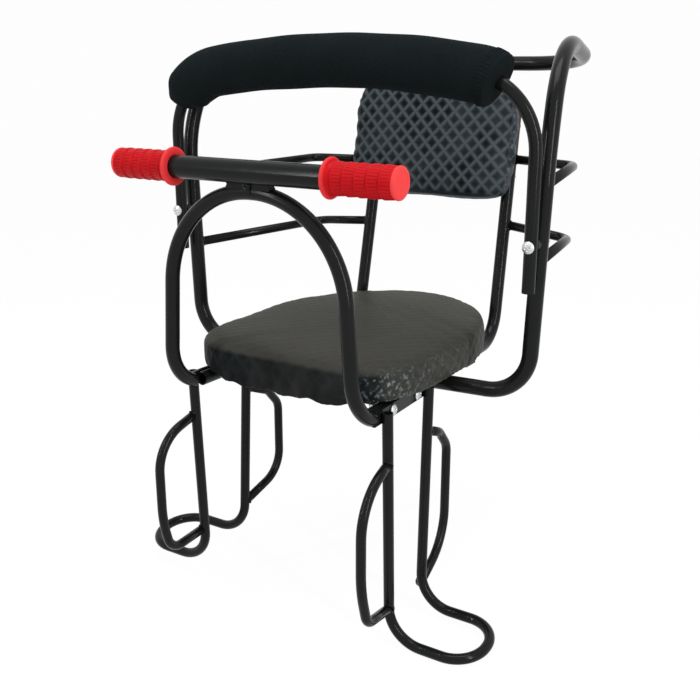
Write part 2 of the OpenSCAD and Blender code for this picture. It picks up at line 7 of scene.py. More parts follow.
import bmesh
import bpy
import numpy as np
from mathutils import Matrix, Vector


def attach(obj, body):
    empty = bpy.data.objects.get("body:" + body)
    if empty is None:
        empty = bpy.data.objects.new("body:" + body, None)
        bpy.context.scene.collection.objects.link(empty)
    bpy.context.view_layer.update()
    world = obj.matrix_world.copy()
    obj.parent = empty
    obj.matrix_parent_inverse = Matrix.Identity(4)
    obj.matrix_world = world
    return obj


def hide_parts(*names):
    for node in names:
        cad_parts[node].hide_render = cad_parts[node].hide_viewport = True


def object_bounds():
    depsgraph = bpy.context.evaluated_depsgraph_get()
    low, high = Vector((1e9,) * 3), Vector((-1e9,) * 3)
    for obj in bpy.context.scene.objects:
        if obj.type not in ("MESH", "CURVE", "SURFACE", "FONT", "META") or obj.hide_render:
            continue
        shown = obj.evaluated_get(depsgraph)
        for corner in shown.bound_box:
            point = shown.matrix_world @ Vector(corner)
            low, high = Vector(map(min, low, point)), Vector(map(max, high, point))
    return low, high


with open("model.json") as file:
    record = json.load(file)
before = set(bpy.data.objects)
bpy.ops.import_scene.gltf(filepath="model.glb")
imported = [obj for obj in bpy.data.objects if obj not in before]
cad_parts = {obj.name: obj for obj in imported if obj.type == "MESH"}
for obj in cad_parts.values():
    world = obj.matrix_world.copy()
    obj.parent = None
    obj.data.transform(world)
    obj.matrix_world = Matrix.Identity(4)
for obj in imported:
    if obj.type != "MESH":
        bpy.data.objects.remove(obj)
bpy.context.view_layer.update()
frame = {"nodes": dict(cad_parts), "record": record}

MM = 0.001
ROW_ORIGIN = np.array([0.0, 160.0, -12.05])
LEFT = -1
RIGHT = 1
TAU = 2 * math.pi

# Measures repeated from the part's source
RAIL_R = 8.0
RAIL_FRONT_X = 115.0
RAIL_REAR_X = 104.5
RAIL_LENGTH = 333.5
UPRIGHT_LEAN = 65.5
UPRIGHT_IN = 6.5
CROSSBAR_Z = 352.0
FRAME_R = 9.0
SIDE_LOW = (231.8, 140.5, 3.0)
SIDE_HIGH = (240.5, 140.5, 271.0)
FRAME_FOOT = (110.66, 137.8, 0.0)
GUARD_Y = 115.5
GUARD_R = 7.0
GUARD_HALF_W = 236.7
GUARD_CORNER_R = 79.0
GUARD_ARC_R = 1136.0
GUARD_CROWN_Z = 356.0
GUARD_BOLT = (237.0, GUARD_Y - GUARD_R, 173.0)
ROLL_R = 29.0
ROLL_LEFT_ANGLE = 46.0
ROLL_RIGHT_ANGLE = 75.0
ROLL_LEFT_NOSE = 20.0
ROLL_RIGHT_NOSE = 17.0
BAR_Y = -49.0
BAR_Z = 250.5
BAR_R = 12.0
BAR_LENGTH = 342.0
GRIP_LENGTH = 79.0
GRIP_R = 16.3
FLANGE_R = 20.0
SEAT_HALF = (146.5, 181.5)
SEAT_MID_Y = 175.5
SEAT_SQUARE = (4.8, 1.9)
BACK_HALF = (116.8, 89.0)
BACK_MID_X = -3.0
BACK_MID_S = 268.0
BACK_SQUARE = (7.5, 2.8)
HOOP_FRONT_Y = -50.0
HOOP_TOP_Z = 236.0
BRACKET_X = 8.05
BRACKET_T = 4.0
BRACKET_BOLTS_Y = (28.0, 86.0)


def row(points):
    """Seat millimetres to row metres."""
    return (np.asarray(points, float) - ROW_ORIGIN) * MM


def smooth_step(x, low, high):
    t = np.clip((x - low) / (high - low), 0, 1)
    return t * t * (3 - 2 * t)


def bump_at(x, middle, width):
    return np.exp(-(((x - middle) / width) ** 2))


def make_piece(name, verts, faces, material):
    mesh = bpy.data.meshes.new(name)
    mesh.from_pydata([tuple(v) for v in verts], [], [tuple(int(i) for i in f) for f in faces])
    mesh.validate()
    mesh.update()
    bm = bmesh.new()
    bm.from_mesh(mesh)
    bmesh.ops.recalc_face_normals(bm, faces=bm.faces)
    bm.to_mesh(mesh)
    bm.free()
    for polygon in mesh.polygons:
        polygon.use_smooth = True
    piece = bpy.data.objects.new(name, mesh)
    bpy.context.scene.collection.objects.link(piece)
    mesh.materials.append(material)
    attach(piece, "root")
    return piece


def set_attribute(piece, name, values):
    data = piece.data.attributes.new(name, "FLOAT", "POINT")
    data.data.foreach_set("value", np.asarray(values, np.float32))


def coordinates(piece):
    flat = np.zeros(len(piece.data.vertices) * 3)
    piece.data.vertices.foreach_get("co", flat)
    return flat.reshape(-1, 3)


def normals(piece):
    flat = np.zeros(len(piece.data.vertices) * 3)
    piece.data.vertex_normals.foreach_get("vector", flat)
    return flat.reshape(-1, 3)


def move_to(piece, points):
    piece.data.vertices.foreach_set("co", np.asarray(points, float).ravel())
    piece.data.update()


def ring_faces(rings, around):
    """Quads between successive rings of points."""
    faces = []
    for k in range(rings - 1):
        for i in range(around):
            j = (i + 1) % around
            faces.append((k * around + i, k * around + j, (k + 1) * around + j, (k + 1) * around + i))
    return faces


# Materials


class Nodes:
    """Short names for building a node tree."""

    def __init__(self, name):
        self.material = bpy.data.materials.new(name)
        self.material.use_nodes = True
        self.tree = self.material.node_tree
        self.shader = self.tree.nodes["Principled BSDF"]

    def add(self, kind, **values):
        node = self.tree.nodes.new(kind)
        for key, value in values.items():
            node.inputs[key].default_value = value
        return node

    def link(self, source, target):
        self.tree.links.new(source, target)

    def math(self, operation, a, b):
        node = self.tree.nodes.new("ShaderNodeMath")
        node.operation = operation
        for socket, value in zip(node.inputs, (a, b)):
            if isinstance(value, (int, float)):
                socket.default_value = value
            else:
                self.link(value, socket)
        return node.outputs[0]

    def mix(self, factor, a, b):
        node = self.tree.nodes.new("ShaderNodeMix")
        node.data_type = "RGBA"
        self.link(factor, node.inputs["Factor"])
        for socket, value in zip((node.inputs["A"], node.inputs["B"]), (a, b)):
            if isinstance(value, tuple):
                socket.default_value = (*value, 1)
            else:
                self.link(value, socket)
        return node.outputs["Result"]

    def ramp(self, factor, low, high):
        node = self.tree.nodes.new("ShaderNodeMapRange")
        self.link(factor, node.inputs["Value"])
        node.inputs["From Min"].default_value = low
        node.inputs["From Max"].default_value = high
        return node.outputs[0]

    def noise(self, scale, detail=3.0, coords=None):
        node = self.add("ShaderNodeTexNoise", Scale=scale, Detail=detail)
        self.link(coords or self.position(), node.inputs["Vector"])
        return node.outputs["Fac"]

    def position(self):
        return self.add("ShaderNodeTexCoord").outputs["Object"]

    def attribute(self, name):
        node = self.tree.nodes.new("ShaderNodeAttribute")
        node.attribute_name = name
        return node.outputs["Fac"]

    def bump(self, height, distance, strength=1.0):
        node = self.add("ShaderNodeBump", Strength=strength, Distance=distance)
        self.link(height, node.inputs["Height"])
        self.link(node.outputs["Normal"], self.shader.inputs["Normal"])

    def set(self, **values):
        for key, value in values.items():
            socket = self.shader.inputs[key.replace("_", " ")]
            socket.default_value = (*value, 1) if isinstance(value, tuple) else value

    def drive(self, name, source):
        self.link(source, self.shader.inputs[name])


def enamel_material():
    n = Nodes("black_enamel")
    n.set(Specular_IOR_Level=0.13)
    flow = n.noise(38, 4)
    n.drive("Base Color", n.mix(flow, (0.0055, 0.0060, 0.0062), (0.0105, 0.0110, 0.0108)))
    n.drive("Roughness", n.math("ADD", n.math("MULTIPLY", n.noise(90, 3), 0.08), 0.15))
    n.bump(n.noise(420, 2), 0.0001, 0.35)
    return n.material


def grip_material():
    n = Nodes("red_grip")
    n.set(Specular_IOR_Level=0.06, Subsurface_Weight=0.04, Subsurface_Scale=0.002)
    tone = n.noise(60, 3)
    body = n.mix(tone, (0.47, 0.004, 0.008), (0.57, 0.009, 0.014))
    # Grooves are painted a darker red: painted shade in the recesses between the ribs.
    deep = n.mix(n.attribute("groove"), body, (0.36, 0.002, 0.005))
    # The flange and end disc are painted pale red: painted highlight where they face the lamps.
    n.drive("Base Color", n.mix(n.attribute("painted_light"), deep, (0.86, 0.060, 0.062)))
    n.drive("Roughness", n.math("ADD", n.math("MULTIPLY", n.noise(140, 3), 0.14), 0.34))
    n.bump(n.noise(900, 2), 0.00012, 0.3)
    return n.material


def knit_material():
    n = Nodes("black_knit")
    n.set(Specular_IOR_Level=0.04)
    uv = n.tree.nodes.new("ShaderNodeUVMap")
    uv.uv_map = "weave"
    split = n.tree.nodes.new("ShaderNodeSeparateXYZ")
    n.link(uv.outputs["UV"], split.inputs["Vector"])
    along = split.outputs["X"]
    around = split.outputs["Y"]
    rows = n.math("SINE", n.math("MULTIPLY", along, TAU), 0)
    wales = n.math("SINE", n.math("MULTIPLY", around, TAU), 0)
    loops = n.math("MULTIPLY", rows, wales)
    cloud = n.noise(26, 3)
    fuzz = n.noise(1500, 3)
    yarn = n.ramp(n.math("ADD", loops, n.math("MULTIPLY", fuzz, 1.4)), -0.4, 1.9)
    base = n.mix(yarn, (0.0032, 0.0050, 0.0058), (0.0120, 0.0175, 0.0190))
    n.drive("Base Color", n.mix(n.ramp(cloud, 0.35, 0.75), base, (0.0060, 0.0090, 0.0098)))
    n.set(Roughness=0.85)
    n.bump(n.math("ADD", loops, n.math("MULTIPLY", fuzz, 0.8)), 0.00035, 0.6)
    return n.material


def vinyl_material(name, centre, ridge, side, rough, crinkle):
    n = Nodes(name)
    n.set(Specular_IOR_Level=0.04)
    grain = n.noise(700, 4)
    cloud = n.noise(24, 4)
    # Painted light on one vinyl: the ridge colour on the quilting's raised lines is painted highlight, and
    # the centre colour in its hollows is painted shade.
    emboss = n.attribute("ridge")
    flank = n.attribute("flank")
    tone = n.mix(emboss, centre, ridge)
    # The flank attribute mixes in the side colour: painted shade on the seat's front face, and on the
    # backrest a painted sheen on its sides plus the tone of the piping strip along its bottom.
    tone = n.mix(flank, tone, n.mix(emboss, side, tuple(1.9 * v for v in side)))
    folds = n.noise(130, 5)
    crease = n.attribute("crease")
    # Painted glints: pale bluish specks in the base colour where the crease attribute is high.
    glints = n.noise(210, 4)
    painted_glint = n.math("MULTIPLY", n.ramp(glints, 0.53, 0.68), crease)
    tone = n.mix(n.math("MULTIPLY", n.ramp(cloud, 0.4, 0.7), 0.35), tone, ridge)
    n.drive("Base Color", n.mix(painted_glint, tone, (0.20, 0.24, 0.26)))
    matt = n.math("ADD", n.math("MULTIPLY", grain, 0.18), rough)
    n.drive("Roughness", n.math("SUBTRACT", matt, n.math("MULTIPLY", crease, 0.16)))
    deep = n.math("ADD", n.math("MULTIPLY", crease, 1.8), crinkle)
    height = n.math("ADD", n.math("MULTIPLY", grain, 0.5), n.math("MULTIPLY", folds, deep))
    n.bump(height, 0.0004, 0.55)
    return n.material


def zinc_material():
    n = Nodes("bright_zinc")
    n.set(Metallic=0.85)
    n.drive("Base Color", n.mix(n.noise(240, 4), (0.50, 0.51, 0.53), (0.78, 0.79, 0.80)))
    n.drive("Roughness", n.math("ADD", n.math("MULTIPLY", n.noise(500, 3), 0.2), 0.26))
    n.bump(n.noise(900, 3), 0.0001, 0.4)
    return n.material


def dull_zinc_material():
    n = Nodes("dull_zinc")
    n.set(Metallic=0.4)
    n.drive("Base Color", n.mix(n.noise(240, 4), (0.010, 0.010, 0.011), (0.030, 0.030, 0.032)))
    n.set(Roughness=0.5)
    return n.material


def board_material():
    # Plywood board, near-black brown with its grain.
    n = Nodes("dark_plywood")
    stretch = n.tree.nodes.new("ShaderNodeMapping")
    stretch.inputs["Scale"].default_value = (1, 0.08, 1)
    n.link(n.position(), stretch.inputs["Vector"])
    grain = n.noise(160, 5, stretch.outputs["Vector"])
    n.drive("Base Color", n.mix(grain, (0.018, 0.012, 0.008), (0.045, 0.031, 0.020)))
    n.set(Roughness=0.7)
    n.bump(grain, 0.0003, 0.4)
    return n.material


def foam_material():
    n = Nodes("black_foam")
    n.drive("Base Color", n.mix(n.noise(300, 4), (0.006, 0.006, 0.007), (0.014, 0.014, 0.015)))
    n.set(Roughness=0.95)
    n.bump(n.noise(800, 3), 0.0005, 0.6)
    return n.material


ENAMEL = enamel_material()
GRIP = grip_material()
KNIT = knit_material()
# The seat's vinyl is a lit copy of the backrest's: its brown-grey centre and ridge colours are painted light
# from above, and its dark side colour is painted shade on the front face.
SEAT_VINYL = vinyl_material(
    "seat_vinyl", (0.041, 0.0405, 0.0350), (0.053, 0.052, 0.046), (0.0055, 0.0070, 0.0080), 0.40, 0.5)
# The backrest's near-black centre colour is painted shade in the hollows, and its pale bluish ridge colour is
# painted highlight.
BACK_VINYL = vinyl_material(
    "back_vinyl", (0.0030, 0.0040, 0.0055), (0.072, 0.088, 0.095), (0.020, 0.027, 0.036), 0.36, 0.7)
ZINC = zinc_material()
BOARD = board_material()
FOAM = foam_material()
DULL_ZINC = dull_zinc_material()
BY_SLOT = {"enamel": ENAMEL, "grip": GRIP, "knit": KNIT, "vinyl": SEAT_VINYL,
           "zinc": ZINC, "board": BOARD, "foam": FOAM}

for part in frame["record"]["subparts"]:
    node = frame["nodes"][part["node"]]
    node.data.materials.clear()
    hidden_bush = part["node"] == "guard_spacers"
    node.data.materials.append(DULL_ZINC if hidden_bush else BY_SLOT[part["material_slot"]])


# Cushions


def edge_distance(t, half, square):
    """Distance from a cushion's middle to its outline in the direction t."""
    n = np.where(np.sin(t) < 0, square[0], square[1])
    return (np.abs(np.cos(t) / half[0]) ** n + np.abs(np.sin(t) / half[1]) ** n) ** (-1 / n)


def pad_mesh(half, square, cells, crown, wall):
    """Grid over the top of a cushion and rings down its sides, as points, faces and pins.
    crown lists (inset, height) from the top's rim to its middle, and wall lists them from
    below the rim down the side to the pocket's roof."""
    across, deep = cells
    rim_inset = crown[0][0]
    grid = [(-1 + 2 * i / across, -1 + 2 * j / deep) for j in range(deep + 1) for i in range(across + 1)]
    points = []
    for u, v in grid:
        share = max(abs(u), abs(v))
        t = math.atan2(v * half[1], u * half[0])
        far = float(edge_distance(t, (half[0] - rim_inset, half[1] - rim_inset), square)) * share
        insets = [c[0] for c in crown]
        fars = [float(edge_distance(t, (max(half[0] - c, 1), max(half[1] - c, 1)), square)) for c in insets]
        z = float(np.interp(far, fars[::-1], [c[1] for c in crown][::-1]))
        points.append((far * math.cos(t), far * math.sin(t), z))
    faces = []
    for j in range(deep):
        for i in range(across):
            a = j * (across + 1) + i
            faces.append((a, a + 1, a + across + 2, a + across + 1))
    rim = [i for i in range(across + 1)]
    rim += [j * (across + 1) + across for j in range(1, deep + 1)]
    rim += [deep * (across + 1) + i for i in range(across - 1, -1, -1)]
    rim += [j * (across + 1) for j in range(deep - 1, 0, -1)]
    angles = [math.atan2(points[k][1], points[k][0]) for k in rim]
    previous = rim
    for inset, z in wall:
        ring = []
        for t in angles:
            far = float(edge_distance(t, (half[0] - inset, half[1] - inset), square))
            ring.append(len(points))
            points.append((far * math.cos(t), far * math.sin(t), z))
        for i in range(len(rim)):
            j = (i + 1) % len(rim)
            faces.append((previous[i], ring[i], ring[j], previous[j]))
        previous = ring
    faces.append(tuple(previous))
    pins = list(range(len(points) - 3 * len(rim), len(points)))
    return np.array(points), faces, pins


def swell(piece, pins, cap):
    """Blows the pad up a little with a cloth simulation, and caps how far a point moves."""
    before = coordinates(piece)
    group = piece.vertex_groups.new(name="held")
    group.add(pins, 1.0, "REPLACE")
    cloth = piece.modifiers.new("cloth", "CLOTH")
    cloth.settings.use_pressure = True
    cloth.settings.uniform_pressure_force = 4
    cloth.settings.effector_weights.gravity = 0
    cloth.settings.vertex_group_mass = "held"
    cloth.settings.tension_stiffness = 18
    cloth.settings.compression_stiffness = 18
    cloth.settings.bending_stiffness = 0.6
    cloth.collision_settings.use_collision = False
    scene = bpy.context.scene
    for number in range(1, 21):
        scene.frame_set(number)
    evaluated = piece.evaluated_get(bpy.context.evaluated_depsgraph_get())
    flat = np.zeros(len(before) * 3)
    evaluated.data.vertices.foreach_get("co", flat)
    piece.modifiers.remove(cloth)
    scene.frame_set(1)
    step = flat.reshape(-1, 3) - before
    length = np.linalg.norm(step, axis=1, keepdims=True)
    step = step * np.minimum(1, cap * MM / np.maximum(length, 1e-9))
    move_to(piece, before + step)


def refine(piece, levels):
    """Applies that many levels of subdivision."""
    modifier = piece.modifiers.new("refine", "SUBSURF")
    modifier.levels = levels
    modifier.render_levels = levels
    evaluated = piece.evaluated_get(bpy.context.evaluated_depsgraph_get())
    mesh = bpy.data.meshes.new_from_object(evaluated)
    material = piece.data.materials[0]
    piece.modifiers.remove(modifier)
    piece.vertex_groups.clear()
    piece.data = mesh
    mesh.materials.clear()
    mesh.materials.append(material)
    for polygon in mesh.polygons:
        polygon.use_smooth = True


def outward(x, y, half, square):
    """Unit vector out of the cushion's outline, in plan."""
    n = np.where(y < 0, square[0], square[1])
    gx = np.sign(x) * np.abs(x / half[0]) ** (n - 1) / half[0]
    gy = np.sign(y) * np.abs(y / half[1]) ** (n - 1) / half[1]
    length = np.maximum(np.hypot(gx, gy), 1e-9)
    return gx / length, gy / length


def lattice(u, v, wide, tall, width):
    """Ridges of a diamond quilting: one on each line of two crossing sets."""
    p = u / wide + v / tall
    q = u / wide - v / tall
    ridge_p = np.exp(-((np.abs(p - np.round(p)) / width) ** 2))
    ridge_q = np.exp(-((np.abs(q - np.round(q)) / width) ** 2))
    return np.maximum(ridge_p, ridge_q)


SEAT_CROWN = [(3, 44.9), (6, 46.3), (12, 47.4), (20, 48.2), (36, 49.3), (64, 50.5), (96, 51.2), (128, 51.5)]
SEAT_WALL = [(1.2, 42.3), (0.3, 38), (0, 33), (0, 27), (0.2, 21), (0.6, 16), (1.2, 12),
             (2.5, 9.3), (7, 8.7), (12, 8.7), (15, 9.8), (15, 13), (15, 16.2)]
SEAT_CELLS = (48, 56)
SEAT_TOP_EDGE_Z = 44.5
SEAT_LATTICE = (20.0, 20.5)


def seat_pad():
    shrink = 1.2
    half = (SEAT_HALF[0] - shrink, SEAT_HALF[1] - shrink)
    points, faces, pins = pad_mesh(half, SEAT_SQUARE, SEAT_CELLS, SEAT_CROWN, SEAT_WALL)
    points[:, 1] += SEAT_MID_Y
    pad = make_piece("seat_pad", row(points), faces, SEAT_VINYL)
    swell(pad, pins, 1.5)
    refine(pad, 2)
    co = coordinates(pad)
    out = normals(pad)
    x, y, z = (co / MM + ROW_ORIGIN).T
    y = y - SEAT_MID_Y
    radial = np.hypot(x, y) / edge_distance(np.arctan2(y, x), SEAT_HALF, SEAT_SQUARE)
    nx, ny = outward(x, y, SEAT_HALF, SEAT_SQUARE)
    below = np.where(radial > 0.9, np.clip(SEAT_TOP_EDGE_Z - z, 0, 40), 0)
    flank = smooth_step(below, 0.5, 7) * smooth_step(radial, 0.9, 0.97)
    under = smooth_step(-out[:, 2], 0.6, 0.9)
    ridge = lattice(x + nx * below, y + ny * below, *SEAT_LATTICE, 0.2) * (1 - under)
    front = smooth_step(-ny, 0.3, 0.8)
    right = smooth_step(nx, 0.5, 0.9)
    worn = 0.35 + 0.9 * bump_at(radial, 0.99, 0.07) + 0.5 * smooth_step(-x, 20, 120) * smooth_step(y, -60, 60)
    depth = np.where(flank > 0.05, 0.8 * flank + worn * (1 - flank) * 0.5, worn * 0.42)
    lift = (ridge - 0.5) * depth
    along = np.arctan2(y, x)
    run = along * 150
    # Gathers: the cover is drawn in under the board, so the low edge is puckered
    low = smooth_step(30 - z, 0, 18) * flank * (1 - under)
    pucker = np.sin(run / 4.3 + 1.3 * np.sin(run / 17)) * 0.9 + np.sin(run / 2.1 + 2) * 0.35
    lift += low * pucker * (0.1 + 0.9 * front * (1 - right))
    corner = np.exp(-((x - 136) ** 2 + (y + 166) ** 2) / 30 ** 2) * smooth_step(radial, 0.9, 0.97)
    pleats = np.sin((x - y) / 2.6 + 0.8 * np.sin(z / 7)) * 1.0 + np.sin((x - y) / 1.25) * 0.35
    lift += corner * (0.25 + 0.75 * flank) * pleats * 1.2
    left_corner = np.exp(-((x + 132) ** 2 + (y + 166) ** 2) / 26 ** 2) * smooth_step(radial, 0.9, 0.98)
    lift += left_corner * flank * np.sin((x + y) / 3.0) * 0.8
    moved = co + out * (lift * MM)[:, None]
    # The front skirt hangs lower between the rails, in lobes
    between = np.clip(1 - (np.abs(x) / 112) ** 8, 0, 1)
    hang = smooth_step(-y, 166, 176) * smooth_step(24 - z, 0, 14) * between
    lobes = 8.4 + 1.3 * np.sin(x / 8.5 + 0.7) + 0.7 * np.sin(x / 4.1 + 2)
    moved[:, 2] -= hang * lobes * MM
    dents = np.exp(-((x - 30) ** 2 + (y - 40) ** 2) / 90 ** 2) * smooth_step(z, 44, 49)
    moved[:, 2] -= dents * 1.4 * MM
    move_to(pad, moved)
    # Attributes that place painted light in the vinyl: ridge sets painted highlight on the quilting's ridges,
    # mostly down the sides; flank sets painted shade on the front face but not on the lit right side; crease
    # sets painted glints, with smoother and deeper creases, at the right-front corner and along the right
    # edge.
    sparse = 0.35 + 0.65 * smooth_step(np.sin(x / 23 + 1) * np.sin(y / 31 + z / 9), 0.0, 0.5)
    set_attribute(pad, "ridge", np.clip(ridge * (0.25 + 0.75 * flank * sparse), 0, 1))
    set_attribute(pad, "flank", flank * (0.05 + 0.95 * front * (1 - right)))
    right_edge = bump_at(radial, 0.985, 0.02) * smooth_step(nx, 0.6, 0.95) * smooth_step(-y, -60, 80)
    set_attribute(pad, "crease", np.clip(corner * (0.15 + 0.85 * flank) + 0.3 * right_edge, 0, 1))
    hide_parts("seat_cushion")
    return pad


BACK_CROWN = [(2.6, 39.6), (6, 41.3), (12, 42.6), (24, 43.9), (42, 44.8), (64, 45.1)]
BACK_WALL = [(1.1, 37.2), (0.3, 34), (0, 29.5), (0, 24.5), (0.1, 20), (0.4, 16),
             (0.9, 12.5), (1.8, 10.2), (3.2, 8.8), (4.5, 9.6), (4.5, 12), (4.5, 14.2)]
BACK_CELLS = (52, 38)
BACK_LATTICE = (19.1, 20.0)
BACK_LATTICE_RISE = 0.02
BACK_TILT = math.atan(UPRIGHT_LEAN / CROSSBAR_Z)


def back_to_seat(points):
    """From the backrest's frame (across, up the slope, out to the front) to the seat's."""
    across, up, front = np.asarray(points).T
    y = RAIL_LENGTH + up * math.sin(BACK_TILT) - front * math.cos(BACK_TILT)
    z = up * math.cos(BACK_TILT) + front * math.sin(BACK_TILT)
    return np.stack([across, y, z], 1)


def seat_to_back(points):
    across, y, z = np.asarray(points).T
    up = (y - RAIL_LENGTH) * math.sin(BACK_TILT) + z * math.cos(BACK_TILT)
    front = -(y - RAIL_LENGTH) * math.cos(BACK_TILT) + z * math.sin(BACK_TILT)
    return np.stack([across, up, front], 1)


def back_pad():
    shrink = 1.2
    half = (BACK_HALF[0] - shrink, BACK_HALF[1] - shrink)
    points, faces, pins = pad_mesh(half, BACK_SQUARE, BACK_CELLS, BACK_CROWN, BACK_WALL)
    points[:, 0] += BACK_MID_X
    points[:, 1] += BACK_MID_S
    pad = make_piece("back_pad", row(back_to_seat(points)), faces, BACK_VINYL)
    swell(pad, pins, 1.5)
    refine(pad, 2)
    co = coordinates(pad)
    out = normals(pad)
    x, up, front = seat_to_back(co / MM + ROW_ORIGIN).T
    x = x - BACK_MID_X
    y = up - BACK_MID_S
    radial = np.hypot(x, y) / edge_distance(np.arctan2(y, x), BACK_HALF, BACK_SQUARE)
    nx, ny = outward(x, y, BACK_HALF, BACK_SQUARE)
    below = np.where(radial > 0.88, np.clip(39.0 - front, 0, 30), 0)
    flank = smooth_step(below, 1, 8) * smooth_step(radial, 0.9, 0.97)
    under = smooth_step(9.5 - front, 0, 1)
    side = smooth_step(np.abs(nx), 0.6, 0.95) * flank
    strip = smooth_step(-y, 79.5, 81.5)
    u = x + nx * below
    v = y + ny * below - BACK_LATTICE_RISE * u
    ridge = lattice(u, v, *BACK_LATTICE, 0.18)
    ridge = ridge * (1 - 0.85 * side) * (1 - 0.9 * strip) * (1 - under)
    lift = (ridge - 0.5) * 1.5
    creases = np.sin(up / 5.2 + 1.6 * np.sin(up / 19) + x / 30) * 0.7 + np.sin(up / 2.3 + 1.0) * 0.25
    lift += side * creases * 1.1
    edge = bump_at(radial, 0.93, 0.05) * smooth_step(np.abs(nx), 0.5, 0.9)
    lift += edge * np.sin(up / 9 + 0.6) * 0.6
    move_to(pad, co + out * (lift * MM)[:, None])
    # Attributes that place painted light in the vinyl: ridge sets painted highlight on the quilting's ridges
    # and painted shade in its hollows; flank sets a painted sheen on the sides and the tone of the bottom
    # strip; crease sets painted glints, with smoother and deeper creases, on the right side.
    set_attribute(pad, "ridge", np.clip(ridge, 0, 1))
    set_attribute(pad, "flank", np.clip(side + 0.6 * strip, 0, 1))
    set_attribute(pad, "crease", np.clip(0.5 * side * smooth_step(nx, 0, 0.5), 0, 1))
    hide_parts("back_cushion")
    return pad


# Padded roll on the guard

GUARD_CORNER_X = GUARD_HALF_W - GUARD_CORNER_R
GUARD_ARC_Z = GUARD_CROWN_Z - GUARD_ARC_R
GUARD_HALF_ANGLE = math.asin(GUARD_CORNER_X / (GUARD_ARC_R - GUARD_CORNER_R))
GUARD_CORNER_Z = GUARD_ARC_Z + (GUARD_ARC_R - GUARD_CORNER_R) * math.cos(GUARD_HALF_ANGLE)
GUARD_ARC_HALF = GUARD_ARC_R * GUARD_HALF_ANGLE


def guard_frame(s):
    """Point on the guard's centreline at the length s right of its top, with the unit
    vector out of its bend."""
    side = 1 if s >= 0 else -1
    if abs(s) <= GUARD_ARC_HALF:
        a = s / GUARD_ARC_R
        point = (GUARD_ARC_R * math.sin(a), GUARD_ARC_Z + GUARD_ARC_R * math.cos(a))
        up = (math.sin(a), math.cos(a))
    else:
        a = GUARD_HALF_ANGLE + (abs(s) - GUARD_ARC_HALF) / GUARD_CORNER_R
        up = (side * math.sin(a), math.cos(a))
        point = (side * GUARD_CORNER_X + GUARD_CORNER_R * up[0], GUARD_CORNER_Z + GUARD_CORNER_R * up[1])
    centre = np.array([point[0], GUARD_Y, point[1]])
    return centre, np.array([up[0], 0, up[1]])


def corner_length(angle):
    """Length along the guard from its top to that angle round a corner, from the level."""
    return GUARD_ARC_HALF + GUARD_CORNER_R * (math.pi / 2 - GUARD_HALF_ANGLE - math.radians(angle))


def roll_cover():
    around = 288
    full_left = -corner_length(ROLL_LEFT_ANGLE)
    full_right = corner_length(ROLL_RIGHT_ANGLE)
    left_end = full_left - ROLL_LEFT_NOSE
    right_end = full_right + ROLL_RIGHT_NOSE
    hem = 8.0
    hem_start = full_right + 3.0
    hem_end = hem_start + hem
    tube = GUARD_R + 0.3
    stations = []
    cut_r = 19.5
    for x, r in ((0.0, tube), (0.2, cut_r - 4.5), (0.0, cut_r - 2.0), (0.5, cut_r - 0.6), (1.6, cut_r)):
        stations.append((left_end + x, r, 0.0, 0.0))
    steps = 14
    for k in range(1, steps + 1):
        t = k / steps
        swollen = cut_r + (ROLL_R - cut_r) * float(smooth_step(0.15 + 0.85 * t, 0.0, 1.0))
        stations.append((left_end + 1.6 + (ROLL_LEFT_NOSE - 1.6) * t, swollen, 0.0, 0.0))
    count = 130
    for k in range(1, count + 1):
        stations.append((full_left + (hem_start - full_left) * k / count, ROLL_R, 0.0, 0.0))
    band = 20
    for k in range(1, band + 1):
        t = k / band
        step = 0.7 * smooth_step(t, 0.0, 0.06) - 0.9 * bump_at(t, 0.0, 0.05)
        stations.append((hem_start + hem * t, ROLL_R + step - 0.5 * t * t, 1.0, t))
    turned = 18
    for k in range(1, turned + 1):
        a = k / turned * math.pi / 2
        closing = tube + (ROLL_R - 0.3 - tube) * (1 - (k / turned) ** 3.2) ** 0.55
        stations.append((hem_end + (right_end - hem_end) * math.sin(a), closing, 2.0, 1.0 + k / turned))
    points = []
    weave = []
    turn = np.arange(around) / around * TAU
    for s, r, pleated, t in stations:
        origin, up = guard_frame(s)
        side = np.array([0, 1.0, 0])
        sag = 0.35 * np.sin(3 * turn + s / 41) + 0.3 * np.sin(2 * turn - s / 27) + 0.25 * math.sin(s / 13)
        keep = min(1, (r - tube) / 12)
        ripple = 0.0
        if pleated:
            zigzag = 2.6 * abs((2.5 * t) % 1 - 0.5)
            depth = 0.34 if pleated < 2 else 0.2
            ripple = (np.sin(turn * 48 + zigzag) + 0.4 * np.sin(turn * 17 + 1)) * depth * keep
        seam = -0.8 * np.exp(-((turn - math.pi * 1.05) / 0.035) ** 2) * keep
        inner = 0.5 - 0.5 * np.cos(turn)
        drawn_in = 3.5 * inner * (1 - float(smooth_step(s, left_end + 2, left_end + 48))) * keep
        radius = r + sag * keep + ripple + seam - drawn_in
        for i in range(around):
            direction = up * math.cos(turn[i]) + side * math.sin(turn[i])
            points.append(origin + direction * radius[i])
        weave.append(s)
    faces = ring_faces(len(stations), around)
    cover = make_piece("guard_roll", row(points), faces, KNIT)
    layer = cover.data.uv_layers.new(name="weave")
    pitch = 2.1
    wales = 90
    for polygon in cover.data.polygons:
        corners = [cover.data.loops[k].vertex_index for k in polygon.loop_indices]
        wraps = any(v % around == 0 for v in corners) and any(v % around == around - 1 for v in corners)
        for k, v in zip(polygon.loop_indices, corners):
            turned_share = (v % around) / around
            if wraps and v % around == 0:
                turned_share = 1.0
            layer.data[k].uv = (weave[v // around] / pitch, turned_share * wales)
    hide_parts("guard_cover")
    return cover


# Grips

GRIP_SHIFT = {LEFT: 1.7, RIGHT: 6.2}


